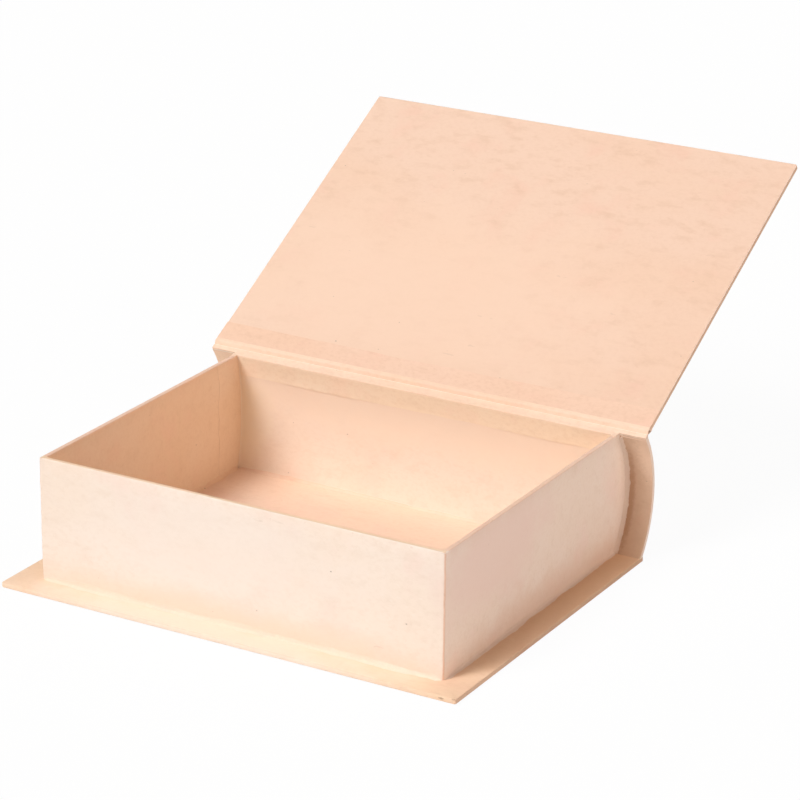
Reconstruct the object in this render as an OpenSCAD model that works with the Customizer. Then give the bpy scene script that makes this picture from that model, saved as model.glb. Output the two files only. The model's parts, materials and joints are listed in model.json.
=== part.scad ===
// Book-shaped keepsake box of board covered with kraft paper.
// A tray with four walls stands on a flat base, and a curved spine board stands behind it.
// The lid hangs from the top edge of the spine on a strip of paper and stands open.
// Origin: the centre of the underside. X runs along the spine, Y from the opening edge to the spine.

/* [Case] */
// Width of the base and the lid, along the spine
case_w = 200; // [140:1:300]
// Depth of the base, from its front edge to its back edge
base_d = 151; // [110:1:240]
// Thickness of every bare board
board_t = 1.5; // [1:0.1:2.5]
// Thickness of every sheet of paper
paper_t = 0.3; // [0.2:0.05:0.4]
// Radius of the free corners of the base and the lid
corner_r = 1; // [0.6:0.1:5]

/* [Tray] */
// Height of the tray's rim above the top of the base
tray_h = 50; // [30:1:80]
// Width of the flange that the base leaves round the tray
flange_w = 11.4; // [8:0.1:18]
// Radius of the tray's two upright front corners
wall_r = 2.5; // [1:0.1:3.5]
// Angle that the arc of the tray's rear wall turns through
rear_angle = 22; // [12:1:46]

/* [Spine] */
// Angle that the spine's arc turns through
spine_angle = 73.5; // [56:0.5:90]

/* [Lid] */
// Depth of the lid, from its free edge to its hinge edge
lid_d = 151.5; // [110:0.5:240]
// Angle that the open lid has turned from closed
open_angle = 151; // [100:1:180]
// Clearance under the closed lid
lid_clear = 0.3; // [0.2:0.05:0.5]
// Width of the bare paper between the spine and the lid
hinge_gap = 2.5; // [2.2:0.1:4]

/* [Paper strips] */
// Height of the hinge strip on the inner faces of the rear wall and the spine
strip_wall_w = 8.5; // [6:0.5:16]
// Depth of the hinge strip on the lid's inner face
strip_lid_w = 10; // [6:0.5:20]
// Width of each leg of the stays in the tray's inner corners
stay_w = 16; // [8:0.5:24]
// Radius that the stays round the inner corners with
stay_r = 1.5; // [1:0.5:6]
// Radius of the strips along the foot of the walls inside the tray
floor_r = 1.5; // [1:0.5:4]
// Radius of the strips along the foot of the walls outside the tray
foot_r = 1.5; // [1:0.5:4]
// Radius of the strips between the outer end walls and the spine
joint_r = 3; // [2:0.5:6]

/* [Hidden] */

// Facets of a full circle, small and large
round_fn = 96;
arc_fn = 360;
// Colours of the bare board, the paper, the lining paper and the paper strips
board_col = [0.72, 0.63, 0.53];
paper_col = [0.93, 0.80, 0.70];
liner_col = [0.95, 0.81, 0.69];
strip_col = [0.96, 0.84, 0.74];

// A board with its paper on both faces
ply = board_t + 2 * paper_t;
half_w = case_w / 2;
front_y = -base_d / 2;
back_y = base_d / 2;

// Levels of the base board's top, the base's papered top and the tray's rim
board_top = paper_t + board_t;
base_top = ply;
rim_z = base_top + tray_h;
// Top of the wall boards and their liners, under the paper on the rim
wall_top = rim_z - paper_t;

// Outer faces of the tray's walls
tray_x = half_w - flange_w;
tray_y = front_y + flange_w;
// Depth of a board's inner face behind its papered outer face
board_in = paper_t + board_t;
inner_x = tray_x - ply;
inner_y = tray_y + ply;

// Angle at the spine's centre from level to its top edge. The edge's inner corner is at the rim.
top_a = spine_angle / 2;

// Hinge axis, at the outer top edge of the spine
axis_y = back_y;
axis_z = rim_z + ply * sin(top_a);

// The spine's outer face is an arc through the base's top back edge and the hinge axis
spine_r = (axis_z - base_top) / 2 / sin(top_a);
arc_y = back_y - spine_r * cos(top_a);
arc_z = (axis_z + base_top) / 2;
// Faces of the spine board and of its lining
spine_out = spine_r - paper_t;
spine_in = spine_r - board_in;
liner_in = spine_r - ply;
// Angle of the spine's top edge under its paper
edge_a = top_a - paper_t / spine_r * 180 / PI;
// An angle below the foot of the spine, and a length past every part
low_a = -80;
far = 4 * spine_r;

// The rear wall's back is a flatter arc that meets the spine's lining at the rim
rear_r = (rim_z - arc_z) / sin(rear_angle / 2);
rear_y = arc_y + liner_in * cos(top_a) - rear_r * cos(rear_angle / 2);
rear_in = rear_r - board_t;
rear_face = rear_in - paper_t;

// Lower edge of the hinge strip on the upright faces
strip_z = rim_z - strip_wall_w;

// The rear stays: their front edge and the face of their paper
stay_front = rear_y + rear_face * cos(rear_angle / 2) - stay_w;
stay_face = rear_face - paper_t;

// Distance from a corner at which the strips along the floor begin, past the round of its stay
strip_start = paper_t + max(stay_r, floor_r);

// Centre of the round that touches the floor and the rear wall
floor_z = base_top + floor_r;
floor_y = rear_y + sqrt(pow(rear_face - floor_r, 2) - pow(floor_z - arc_z, 2));
touch_a = atan2(floor_z - arc_z, floor_y - rear_y);

// The closed lid's inner face, hinge edge and free edge
lid_z = rim_z + lid_clear;
lid_back = axis_y - hinge_gap;
lid_front = lid_back - lid_d;
// Space between the crease paper and the corner of the spine
crease_clear = 0.08;

// A rectangle whose two front corners are round
module soft_front(hx, y0, y1, r) {
    translate([-hx + r, y0]) square([2 * (hx - r), y1 - y0]);
    translate([-hx, y0 + r]) square([2 * hx, y1 - y0 - r]);
    for (side = [-1, 1])
        translate([side * (hx - r), y0 + r]) circle(r, $fn = round_fn);
}

module case_plan(inset) {
    soft_front(half_w - inset, front_y + inset, back_y - inset, corner_r - inset);
}

module lid_plan(inset, back_inset) {
    soft_front(half_w - inset, lid_front + inset, lid_back - back_inset, corner_r - inset);
}

// Outline of the tray, open towards the spine
module tray_plan(inset) {
    soft_front(tray_x - inset, tray_y + inset, back_y + far, wall_r - inset);
}

// The same outline with square corners, as inside the tray
module tray_hollow(inset) {
    translate([-tray_x + inset, tray_y + inset])
        square([2 * (tray_x - inset), back_y + far]);
}

module slab(z0, z1) {
    translate([0, 0, z0]) linear_extrude(z1 - z0) children();
}

// Extrudes a side view, drawn as Y and Z, from x0 to x1
module along_x(x0, x1) {
    translate([x0, 0, 0]) rotate([90, 0, 90]) linear_extrude(x1 - x0) children();
}

module arc_disc(y, r) {
    translate([y, arc_z]) circle(r, $fn = arc_fn);
}

// Side view of all that lies in front of an arc
module before_arc(y, r) {
    arc_disc(y, r);
    translate([y - far, arc_z - r]) square([far, 2 * r]);
}

// Side view of a bowed sheet between two radii and two levels
module bowed(y, r0, r1, z0, z1) {
    intersection() {
        difference() {
            arc_disc(y, r1);
            arc_disc(y, r0);
        }
        translate([y, z0]) square([far, z1 - z0]);
    }
}

// Side view of the spine between two radii and two angles, above a level
module spine_layer(r0, r1, z0, a0, a1) {
    intersection() {
        bowed(arc_y, r0, r1, z0, axis_z + ply);
        polygon([
            [arc_y, arc_z],
            [arc_y + far * cos(a0), arc_z + far * sin(a0)],
            [arc_y + far * cos(a1), arc_z + far * sin(a1)]
        ]);
    }
}

// Fills the corner between two square faces, t thick on both, to a round of radius r
module fillet(t, r) {
    difference() {
        square(t + r);
        translate([t + r, t + r]) circle(r, $fn = round_fn);
    }
}

// The same, swept up the corner between an end wall at x and a bowed face
module bowed_fillet(y, r_face, x, t, r) {
    intersection() {
        translate([0, y, arc_z]) rotate([0, 90, 0]) rotate_extrude($fn = arc_fn)
            translate([r_face, x]) mirror([1, 0]) fillet(t, r);
        slab(base_top, wall_top) translate([-half_w, y]) square([case_w, far]);
    }
}

// Keeps what lies in front of an arc
module trim_to_arc(y, r) {
    intersection() {
        children();
        along_x(-half_w, half_w) before_arc(y, r);
    }
}

// Turns the closed lid to where it stands open
module opened() {
    translate([0, axis_y, axis_z]) rotate([-open_angle, 0, 0]) translate([0, -axis_y, -axis_z])
        children();
}

module base_board() {
    color(board_col) slab(paper_t, board_top) case_plan(paper_t);
}

// The sheet under the base, turned up round its edges
module base_cover_sheet() {
    color(paper_col) difference() {
        slab(0, board_top) case_plan(0);
        slab(paper_t, board_top + ply) case_plan(paper_t);
    }
}

// The paper on top of the base, outside the tray
module flange_sheet() {
    color(paper_col) trim_to_arc(arc_y, liner_in) slab(board_top, base_top) difference() {
        case_plan(0);
        tray_plan(0);
    }
}

module floor_liner() {
    color(liner_col) trim_to_arc(rear_y, rear_in) slab(board_top, base_top) tray_hollow(board_in);
}

// The ring of the three wall boards, seen from above
module wall_board_ring() {
    difference() {
        tray_plan(paper_t);
        tray_hollow(board_in);
    }
}

module front_wall_board() {
    color(board_col) slab(board_top, wall_top) intersection() {
        wall_board_ring();
        translate([-tray_x, tray_y]) square([2 * tray_x, board_in]);
    }
}

module end_wall_board(side) {
    color(board_col) trim_to_arc(arc_y, liner_in) slab(board_top, wall_top) intersection() {
        wall_board_ring();
        translate([side > 0 ? 0 : -tray_x, tray_y + board_in]) square([tray_x, base_d + far]);
    }
}

module left_wall_board() {
    end_wall_board(-1);
}

module right_wall_board() {
    end_wall_board(1);
}

// One sheet round the outside of the three walls, turned over their rim
module wall_wrap() {
    color(paper_col) trim_to_arc(arc_y, liner_in) difference() {
        slab(board_top, rim_z) tray_plan(0);
        slab(0, wall_top) tray_plan(paper_t);
        slab(0, axis_z) tray_hollow(ply);
    }
}

module front_wall_liner() {
    color(liner_col) slab(base_top, wall_top)
        translate([-tray_x + board_in, tray_y + board_in])
            square([2 * (tray_x - board_in), paper_t]);
}

module end_wall_liner(side) {
    color(liner_col) trim_to_arc(rear_y, rear_in) slab(base_top, wall_top)
        translate([side > 0 ? inner_x : -inner_x - paper_t, inner_y])
            square([paper_t, base_d + far]);
}

module left_wall_liner() {
    end_wall_liner(-1);
}

module right_wall_liner() {
    end_wall_liner(1);
}

// The rear wall stands between the end walls, in front of the spine
module rear_wall_board() {
    color(board_col) trim_to_arc(arc_y, liner_in)
        along_x(-tray_x + board_in, tray_x - board_in)
            bowed(rear_y, rear_in, rear_r, board_top, wall_top);
}

module rear_wall_liner() {
    color(liner_col) along_x(-inner_x, inner_x)
        bowed(rear_y, rear_face, rear_in, base_top, strip_z);
}

module spine_board() {
    color(board_col) along_x(-half_w + paper_t, half_w - paper_t)
        spine_layer(spine_in, spine_out, board_top, low_a, edge_a);
}

// The sheet over the spine's back, turned round both its ends
module spine_cover_sheet() {
    color(paper_col) difference() {
        along_x(-half_w, half_w) spine_layer(spine_in, spine_r, board_top, low_a, top_a);
        along_x(-half_w + paper_t, half_w - paper_t) arc_disc(arc_y, spine_out);
        along_x(-case_w, case_w) spine_layer(0, spine_out, board_top, edge_a, top_a + edge_a);
    }
}

module spine_liner() {
    color(liner_col) along_x(-half_w, half_w)
        bowed(arc_y, liner_in, spine_in, board_top, wall_top);
}

// A paper angle in a front corner of the tray. Its legs start above the strips along the floor.
module corner_stay_front(side) {
    color(strip_col) mirror([side > 0 ? 1 : 0, 0, 0]) translate([-inner_x, inner_y, 0]) {
        slab(base_top, wall_top) fillet(paper_t, stay_r);
        slab(floor_z, wall_top) {
            square([paper_t, stay_w]);
            square([stay_w, paper_t]);
        }
    }
}

module corner_stay_front_left() {
    corner_stay_front(-1);
}

module corner_stay_front_right() {
    corner_stay_front(1);
}

// A paper angle in a rear corner of the tray, bowed like the rear wall
module corner_stay_rear(side) {
    color(strip_col) mirror([side > 0 ? 1 : 0, 0, 0]) {
        bowed_fillet(rear_y, rear_face, -inner_x, paper_t, stay_r);
        along_x(-inner_x, -inner_x + paper_t) intersection() {
            before_arc(rear_y, rear_face);
            translate([stay_front, floor_z]) square([far, wall_top - floor_z]);
        }
        along_x(-inner_x, -inner_x + stay_w) bowed(rear_y, stay_face, rear_face, floor_z, wall_top);
    }
}

module corner_stay_rear_left() {
    corner_stay_rear(-1);
}

module corner_stay_rear_right() {
    corner_stay_rear(1);
}

// The strips along the floor run between the rounds of the stays
module floor_strip_front() {
    color(strip_col) along_x(-inner_x + strip_start, inner_x - strip_start)
        translate([inner_y, base_top]) fillet(0, floor_r);
}

module floor_strip_end(side) {
    color(strip_col) trim_to_arc(rear_y, rear_face - strip_start) mirror([side > 0 ? 1 : 0, 0, 0])
        translate([-inner_x, inner_y + strip_start, base_top])
            rotate([90, 0, 180]) mirror([1, 0, 0]) linear_extrude(base_d) fillet(0, floor_r);
}

module floor_strip_left() {
    floor_strip_end(-1);
}

module floor_strip_right() {
    floor_strip_end(1);
}

module floor_strip_rear() {
    color(strip_col) along_x(-inner_x + strip_start, inner_x - strip_start)
        difference() {
            intersection() {
                arc_disc(rear_y, rear_face);
                polygon([
                    [floor_y, floor_z],
                    [floor_y, base_top],
                    [floor_y + 3 * floor_r, base_top],
                    [floor_y + 2 * floor_r * cos(touch_a), floor_z + 2 * floor_r * sin(touch_a)]
                ]);
            }
            translate([floor_y, floor_z]) circle(floor_r, $fn = round_fn);
        }
}

// Straight along the front wall, and round its two corners
module foot_strip_front() {
    color(strip_col) {
        along_x(-tray_x + wall_r, tray_x - wall_r)
            translate([tray_y, base_top]) mirror([1, 0]) fillet(0, foot_r);
        for (side = [-1, 1])
            translate([side * (tray_x - wall_r), tray_y + wall_r, base_top])
                rotate([0, 0, side > 0 ? -90 : 180])
                    rotate_extrude(angle = 90, $fn = round_fn)
                        translate([wall_r, 0]) fillet(0, foot_r);
    }
}

module foot_strip_end(side) {
    color(strip_col) trim_to_arc(arc_y, liner_in - joint_r) mirror([side > 0 ? 0 : 1, 0, 0])
        translate([tray_x, tray_y + wall_r, base_top])
            rotate([90, 0, 180]) mirror([1, 0, 0]) linear_extrude(base_d) fillet(0, foot_r);
}

module foot_strip_left() {
    foot_strip_end(-1);
}

module foot_strip_right() {
    foot_strip_end(1);
}

// Rounds the corner between an end wall and the spine that stands past it
module joint_strip(side) {
    color(strip_col) mirror([side > 0 ? 0 : 1, 0, 0])
        bowed_fillet(arc_y, liner_in, tray_x, 0, joint_r);
}

module joint_strip_left() {
    joint_strip(-1);
}

module joint_strip_right() {
    joint_strip(1);
}

// Over the top edges of the spine and the rear wall, and down the faces below them
module hinge_strip_spine_leaf() {
    color(strip_col) {
        along_x(-half_w, half_w) {
            spine_layer(liner_in, spine_out, board_top, edge_a, top_a);
            spine_layer(liner_in, spine_in, wall_top, low_a, top_a);
        }
        along_x(-inner_x, inner_x) {
            bowed(rear_y, rear_face, rear_in, strip_z, rim_z);
            difference() {
                intersection() {
                    before_arc(arc_y, spine_in);
                    translate([arc_y, wall_top]) square([far, paper_t]);
                }
                before_arc(rear_y, rear_face);
            }
        }
        for (side = [0, 1])
            mirror([side, 0, 0]) along_x(tray_x + joint_r, half_w) {
                spine_layer(liner_in - paper_t, liner_in, strip_z, low_a, top_a);
                spine_layer(liner_in - paper_t, spine_in, wall_top, low_a, top_a);
            }
    }
}

// The paper between the spine and the lid, which folds when the lid moves
module hinge_crease() {
    color(strip_col) opened() along_x(-half_w, half_w)
        translate([lid_back, axis_z - paper_t])
            square([hinge_gap - crease_clear, 2 * paper_t]);
}

module lid_board() {
    color(board_col) opened() slab(lid_z + paper_t, lid_z + board_in) lid_plan(paper_t, paper_t);
}

// The sheet over the lid's outer face, turned round its three free edges
module lid_cover_sheet() {
    color(paper_col) opened() difference() {
        slab(lid_z + paper_t, lid_z + ply) lid_plan(0, 0);
        slab(lid_z, lid_z + board_in) lid_plan(paper_t, -hinge_gap);
    }
}

module lid_liner() {
    color(liner_col) opened() slab(lid_z, lid_z + paper_t) lid_plan(0, strip_lid_w);
}

// On the lid's inner face along the hinge, and round the lid's hinge edge
module hinge_strip_lid_leaf() {
    color(strip_col) opened() {
        along_x(-half_w, half_w)
            translate([lid_back - strip_lid_w, lid_z]) square([strip_lid_w, paper_t]);
        along_x(-half_w + paper_t, half_w - paper_t)
            translate([lid_back - paper_t, lid_z]) square([paper_t, board_in]);
    }
}

base_board();
base_cover_sheet();
flange_sheet();
floor_liner();
front_wall_board();
left_wall_board();
right_wall_board();
rear_wall_board();
wall_wrap();
front_wall_liner();
left_wall_liner();
right_wall_liner();
rear_wall_liner();
spine_board();
spine_cover_sheet();
spine_liner();
corner_stay_front_left();
corner_stay_front_right();
corner_stay_rear_left();
corner_stay_rear_right();
floor_strip_front();
floor_strip_left();
floor_strip_right();
floor_strip_rear();
foot_strip_front();
foot_strip_left();
foot_strip_right();
joint_strip_left();
joint_strip_right();
hinge_strip_spine_leaf();
hinge_crease();
lid_board();
lid_cover_sheet();
lid_liner();
hinge_strip_lid_leaf();
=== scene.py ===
import json
import math

import bmesh
import bpy
from bpy.props import FloatProperty, FloatVectorProperty, PointerProperty
from mathutils import Matrix, Vector, noise


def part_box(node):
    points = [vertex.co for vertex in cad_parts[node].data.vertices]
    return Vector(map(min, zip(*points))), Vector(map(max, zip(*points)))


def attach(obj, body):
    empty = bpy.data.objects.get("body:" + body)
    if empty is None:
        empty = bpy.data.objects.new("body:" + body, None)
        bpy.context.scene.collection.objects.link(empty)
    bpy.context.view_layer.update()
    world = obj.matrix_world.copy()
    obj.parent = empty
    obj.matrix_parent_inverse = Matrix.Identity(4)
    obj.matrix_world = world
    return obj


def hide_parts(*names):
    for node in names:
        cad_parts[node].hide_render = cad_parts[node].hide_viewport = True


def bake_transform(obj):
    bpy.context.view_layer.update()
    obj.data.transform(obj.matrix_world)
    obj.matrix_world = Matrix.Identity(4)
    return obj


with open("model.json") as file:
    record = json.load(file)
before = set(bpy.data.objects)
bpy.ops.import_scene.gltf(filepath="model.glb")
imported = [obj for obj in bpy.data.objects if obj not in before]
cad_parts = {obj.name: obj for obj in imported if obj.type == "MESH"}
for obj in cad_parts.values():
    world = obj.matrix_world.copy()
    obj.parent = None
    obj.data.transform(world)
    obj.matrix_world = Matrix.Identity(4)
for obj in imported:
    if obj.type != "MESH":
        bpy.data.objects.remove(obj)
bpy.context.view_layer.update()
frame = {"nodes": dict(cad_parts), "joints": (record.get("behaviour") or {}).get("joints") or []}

bl_info = {
    "name": "Book-shaped box",
    "version": (1, 0, 0),
    "blender": (4, 5, 0),
    "location": "View3D > Sidebar > Book box",
    "description": "Papers, strips and finishes of a board box shaped like a book",
    "category": "Object",
}

MM = 0.001

# Sizes of the case in millimetres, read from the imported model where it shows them
base_low, base_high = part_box("base_cover_sheet")
tray_low, tray_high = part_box("wall_wrap")
hinge_at = frame["joints"][0]["pos_m"]
HALF_W = base_high.x / MM
FRONT_Y = base_low.y / MM
BACK_Y = base_high.y / MM
TRAY_X = tray_high.x / MM
TRAY_Y = tray_low.y / MM
RIM_Z = tray_high.z / MM
AXIS_Y = hinge_at[1] / MM
AXIS_Z = hinge_at[2] / MM

# Thicknesses of the paper and of a papered board, and the faces that they set
PAPER = 0.3
PLY = 2.1
BASE_TOP = PLY
BOARD_TOP = PLY - PAPER
INNER_X = TRAY_X - PLY
INNER_Y = TRAY_Y + PLY

# Thicknesses of the glued slips, the corner angles and the laps of the wall paper
SLIP_THICK = 0.15
ANGLE_THICK = 0.13
LAP_THICK = 0.5

# The arc of the spine, and the flatter arc of the rear wall
TOP_A = math.radians(73.5 / 2)
SPINE_R = (AXIS_Z - BASE_TOP) / 2 / math.sin(TOP_A)
ARC_Y = BACK_Y - SPINE_R * math.cos(TOP_A)
ARC_Z = (AXIS_Z + BASE_TOP) / 2
LINER_R = SPINE_R - PLY
REAR_A = math.radians(22 / 2)
REAR_R = (RIM_Z - ARC_Z) / math.sin(REAR_A)
REAR_Y = ARC_Y + LINER_R * math.cos(TOP_A) - REAR_R * math.cos(REAR_A)
REAR_FACE = REAR_R - PLY + PAPER

# The closed lid, and the angle that it has turned to stand open
LID_GAP = 0.3
LID_DEPTH = 151.5
CREASE_WIDTH = 2.5
LID_Z = RIM_Z + LID_GAP
LID_BACK = AXIS_Y - CREASE_WIDTH
LID_FRONT = LID_BACK - LID_DEPTH
OPEN_A = math.radians(-151)

# The legs of a corner angle, along the front or rear wall and along the end wall, and its gap off them
ANGLE_X = 15
ANGLE_Y = 18
ANGLE_OFF = 0.07

# Two faces make a sharp edge past the first angle, and look smooth below the second
SHARP_A = 1.2
SMOOTH_A = math.radians(38)

MIRROR = Matrix.Scale(-1, 4, (1, 0, 0))


# Shaping


def rest():
    """Leaves edit mode and deselects everything."""
    if bpy.context.mode != "OBJECT":
        bpy.ops.object.mode_set(mode="OBJECT")
    bpy.ops.object.select_all(action="DESELECT")


def hold(piece):
    """Makes one piece active and selected."""
    rest()
    piece.select_set(True)
    bpy.context.view_layer.objects.active = piece


def settle(piece):
    """Puts a piece's place, turn and scale into its mesh, which leaves its object at the origin."""
    hold(piece)
    bpy.ops.object.transform_apply(location=True, rotation=True, scale=True)


def open_mesh(piece):
    """Enters edit mode on one piece with nothing selected."""
    hold(piece)
    bpy.ops.object.mode_set(mode="EDIT")
    bpy.ops.mesh.select_all(action="DESELECT")


def pick(piece, kind, test):
    """Selects the verts, edges or faces of the open mesh that pass a test."""
    bpy.ops.mesh.select_mode(type=kind[:-1].upper())
    bpy.ops.mesh.select_all(action="DESELECT")
    mesh = bmesh.from_edit_mesh(piece.data)
    for part in [part for part in getattr(mesh, kind) if test(part)]:
        part.select_set(True)
    bmesh.update_edit_mesh(piece.data)


def drop(piece, kind, test, how="FACE"):
    """Deletes what passes a test from the open mesh."""
    pick(piece, kind, test)
    bpy.ops.mesh.delete(type=how)


def round_edges(piece, radius, segments, test):
    """Rounds the edges of the open mesh that pass a test. The radius is in metres."""
    pick(piece, "edges", test)
    bpy.ops.mesh.bevel(offset=radius, segments=segments, affect="EDGES")


def divide(piece, axis, cuts):
    """Divides the edges of the open mesh that run along an axis."""
    pick(piece, "edges", lambda e: along(e, axis))
    bpy.ops.mesh.subdivide(number_cuts=cuts)


def take_all():
    """Selects the whole open mesh."""
    bpy.ops.mesh.select_all(action="SELECT")


def face_one_way():
    """Turns the faces of the open mesh one way, outwards where it is closed, and leaves edit mode."""
    take_all()
    bpy.ops.mesh.normals_make_consistent(inside=False)
    rest()


def mid(edge):
    """Middle of an edge, in millimetres."""
    return (edge.verts[0].co + edge.verts[1].co) / 2 / MM


def along(edge, axis):
    """Whether an edge runs along X, Y or Z."""
    d = (edge.verts[1].co - edge.verts[0].co).normalized()
    return abs(d["xyz".index(axis)]) > 0.999


def sharp(edge):
    """Whether two faces meet at an edge in about a right angle."""
    return edge.calc_face_angle(0) > SHARP_A


def near(a, b, gap=0.02):
    """Whether two measures are about the same."""
    return abs(a - b) < gap


def held(value):
    """A value, held between 0 and 1."""
    return max(0.0, min(1.0, value))


def wave(x, y, z=0.0):
    """A smooth noise that sways about 0."""
    return noise.noise(Vector((x, y, z)))


def from_arc(c):
    """How far a place is from the line that the spine is bowed about."""
    return math.hypot(c.y - ARC_Y, c.z - ARC_Z)


def angle_at(z, radius):
    """Angle at which an arc about a line at the spine's middle height reaches another height."""
    return math.asin((z - ARC_Z) / radius)


def named(name):
    """The shape that was just added, with its name."""
    piece = bpy.context.active_object
    piece.name = piece.data.name = name
    return piece


def block(name, low, high):
    """A block between two corners, as the first shape of a piece."""
    rest()
    bpy.ops.mesh.primitive_cube_add(
        size=1,
        location=[(a + b) / 2 * MM for a, b in zip(low, high)],
        scale=[(b - a) * MM for a, b in zip(low, high)],
    )
    piece = named(name)
    settle(piece)
    return piece


def flat_sheet(name, half_x, half_y, columns, rows=1, y=0.0, z=0.0):
    """A flat sheet, as the first shape of a piece."""
    rest()
    bpy.ops.mesh.primitive_grid_add(x_subdivisions=columns, y_subdivisions=rows, size=2)
    piece = named(name)
    piece.scale = (half_x * MM, half_y * MM, 1)
    piece.location = (0, y * MM, z * MM)
    settle(piece)
    return piece


def bowed_sheet(name, half_x, y, r_in, r_out, a0, a1, steps, columns=1):
    """A sheet bowed about a line along X: a flat slip swept round an arc in the side view."""
    piece = flat_sheet(name, half_x, (r_out - r_in) / 2, columns, y=y + (r_in + r_out) / 2, z=ARC_Z)
    piece.data.transform(turn_about(y, ARC_Z, a0))
    open_mesh(piece)
    take_all()
    bpy.ops.mesh.spin(steps=steps, angle=a0 - a1, center=(0, y * MM, ARC_Z * MM), axis=(1, 0, 0))
    take_all()
    bpy.ops.mesh.remove_doubles(threshold=1e-7)
    face_one_way()
    return piece


def turn_about(y, z, angle):
    """A turn about a line along X through a place of the side view."""
    place = Matrix.Translation((0, y * MM, z * MM))
    return place @ Matrix.Rotation(angle, 4, "X") @ place.inverted()


def shift(y, z):
    """Moves what is selected in the open mesh, in millimetres."""
    bpy.ops.transform.translate(value=(0, y * MM, z * MM))


def carve(piece, tool):
    """Takes a tool shape out of a piece and removes the tool."""
    hold(piece)
    step = piece.modifiers.new("carve", "BOOLEAN")
    step.operation = "DIFFERENCE"
    step.solver = "EXACT"
    step.object = tool
    bpy.ops.object.modifier_apply(modifier=step.name)
    bpy.data.objects.remove(tool)


def thicken(piece, thickness, even=False):
    """Gives an open sheet its thickness, behind its faces."""
    hold(piece)
    step = piece.modifiers.new("thickness", "SOLIDIFY")
    step.thickness = thickness * MM
    step.offset = -1
    step.use_even_offset = even
    bpy.ops.object.modifier_apply(modifier=step.name)


def wander(piece, picked, direction, reach, period, seed):
    """Moves picked points to and fro by a smooth noise that runs along X."""
    for v in piece.data.vertices:
        share = picked(v.co / MM)
        if share:
            x = v.co.x / MM / period
            drift = wave(x, seed * 7.3) + 0.45 * wave(x * 2.7, seed * 3.1, 5)
            v.co += Vector(direction) * (drift * reach * share * MM)


def face_outwards(piece, axis, sign):
    """Turns an open sheet over if most of it faces the wrong way."""
    if sum(f.normal[axis] * f.area for f in piece.data.polygons) * sign < 0:
        piece.data.flip_normals()


def lay_open(piece):
    """Turns a piece modelled on the closed lid to where the lid stands open."""
    piece.matrix_world = turn_about(AXIS_Y, AXIS_Z, OPEN_A)
    settle(piece)


def open_point(y, z):
    """Where a point of the closed lid is once the lid stands open."""
    y, z = y - AXIS_Y, z - AXIS_Z
    c, s = math.cos(OPEN_A), math.sin(OPEN_A)
    return AXIS_Y + y * c - z * s, AXIS_Z + y * s + z * c


def mark_rub(piece, flat):
    """Notes which points of a piece are rubbed: those on its rounded edges, which a test calls not flat."""
    layer = piece.data.attributes.new("rub", "FLOAT", "POINT")
    layer.data.foreach_set("value", [0.0 if flat(v.co / MM) else 1.0 for v in piece.data.vertices])


def dress(piece, finish, body=None, stands_for=()):
    """Smooths a finished piece, gives it its paper and its body, and hides the CAD parts that it stands for.
    """
    hold(piece)
    bpy.ops.object.shade_smooth_by_angle(angle=SMOOTH_A)
    piece.data.materials.clear()
    piece.data.materials.append(bpy.data.materials[finish])
    if body:
        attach(piece, body)
    if stands_for:
        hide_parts(*stands_for)
    rest()


def repaper(piece, finish, test):
    """Gives the faces that pass a test another paper. The test is given a face's middle and its normal."""
    piece.data.materials.append(bpy.data.materials[finish])
    for face in piece.data.polygons:
        if test(face.center / MM, face.normal):
            face.material_index = len(piece.data.materials) - 1


# Finishes


class Wiring:
    """Adds nodes to a tree and joins them, a few words for each."""

    def __init__(self, tree):
        self.tree = tree

    def put(self, value, socket):
        if isinstance(value, bpy.types.NodeSocket):
            self.tree.links.new(value, socket)
        else:
            socket.default_value = value

    def make(self, kind, values=None, **settings):
        """A node with its settings and with what feeds its sockets. Returns its outputs."""
        node = self.tree.nodes.new("ShaderNode" + kind)
        for label, value in settings.items():
            setattr(node, label, value)
        for label, value in (values or {}).items():
            self.put(value, node.inputs[label])
        return node.outputs

    def math(self, kind, a, b=0.0, c=0.0, clamp=False):
        return self.make("Math", {0: a, 1: b, 2: c}, operation=kind, use_clamp=clamp)[0]

    def times(self, a, b):
        return self.math("MULTIPLY", a, b)

    def plus(self, a, b, clamp=False):
        return self.math("ADD", a, b, clamp=clamp)

    def below(self, a, b):
        return self.math("LESS_THAN", a, b)

    def vector(self, kind, a, b=(0, 0, 0)):
        found = self.make("VectorMath", {0: a, 1: b}, operation=kind)
        return found["Value" if kind == "LENGTH" else "Vector"]

    def noise(self, vector, scale, detail=3.0, rough=0.5):
        values = {"Vector": vector, "Scale": scale, "Detail": detail, "Roughness": rough}
        return self.make("TexNoise", values)["Fac"]

    def cells(self, vector, scale):
        found = self.make("TexVoronoi", {"Vector": vector, "Scale": scale})
        return found["Distance"], found["Color"]

    def ramp(self, value, low, high, out_low=0.0, out_high=1.0):
        values = {"Value": value, "From Min": low, "From Max": high, "To Min": out_low, "To Max": out_high}
        return self.make("MapRange", values, interpolation_type="SMOOTHSTEP")["Result"]

    def mix(self, share, a, b):
        return self.make("Mix", {"Factor": share, 6: a, 7: b}, data_type="RGBA")[2]

    def turn(self, vector, angles=(0, 0, 0), scale=(1, 1, 1), place=(0, 0, 0)):
        values = {"Vector": vector, "Location": place, "Rotation": angles, "Scale": scale}
        return self.make("Mapping", values)["Vector"]

    def channel(self, colour, label):
        return self.make("SeparateColor", {0: colour})[label]


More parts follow.
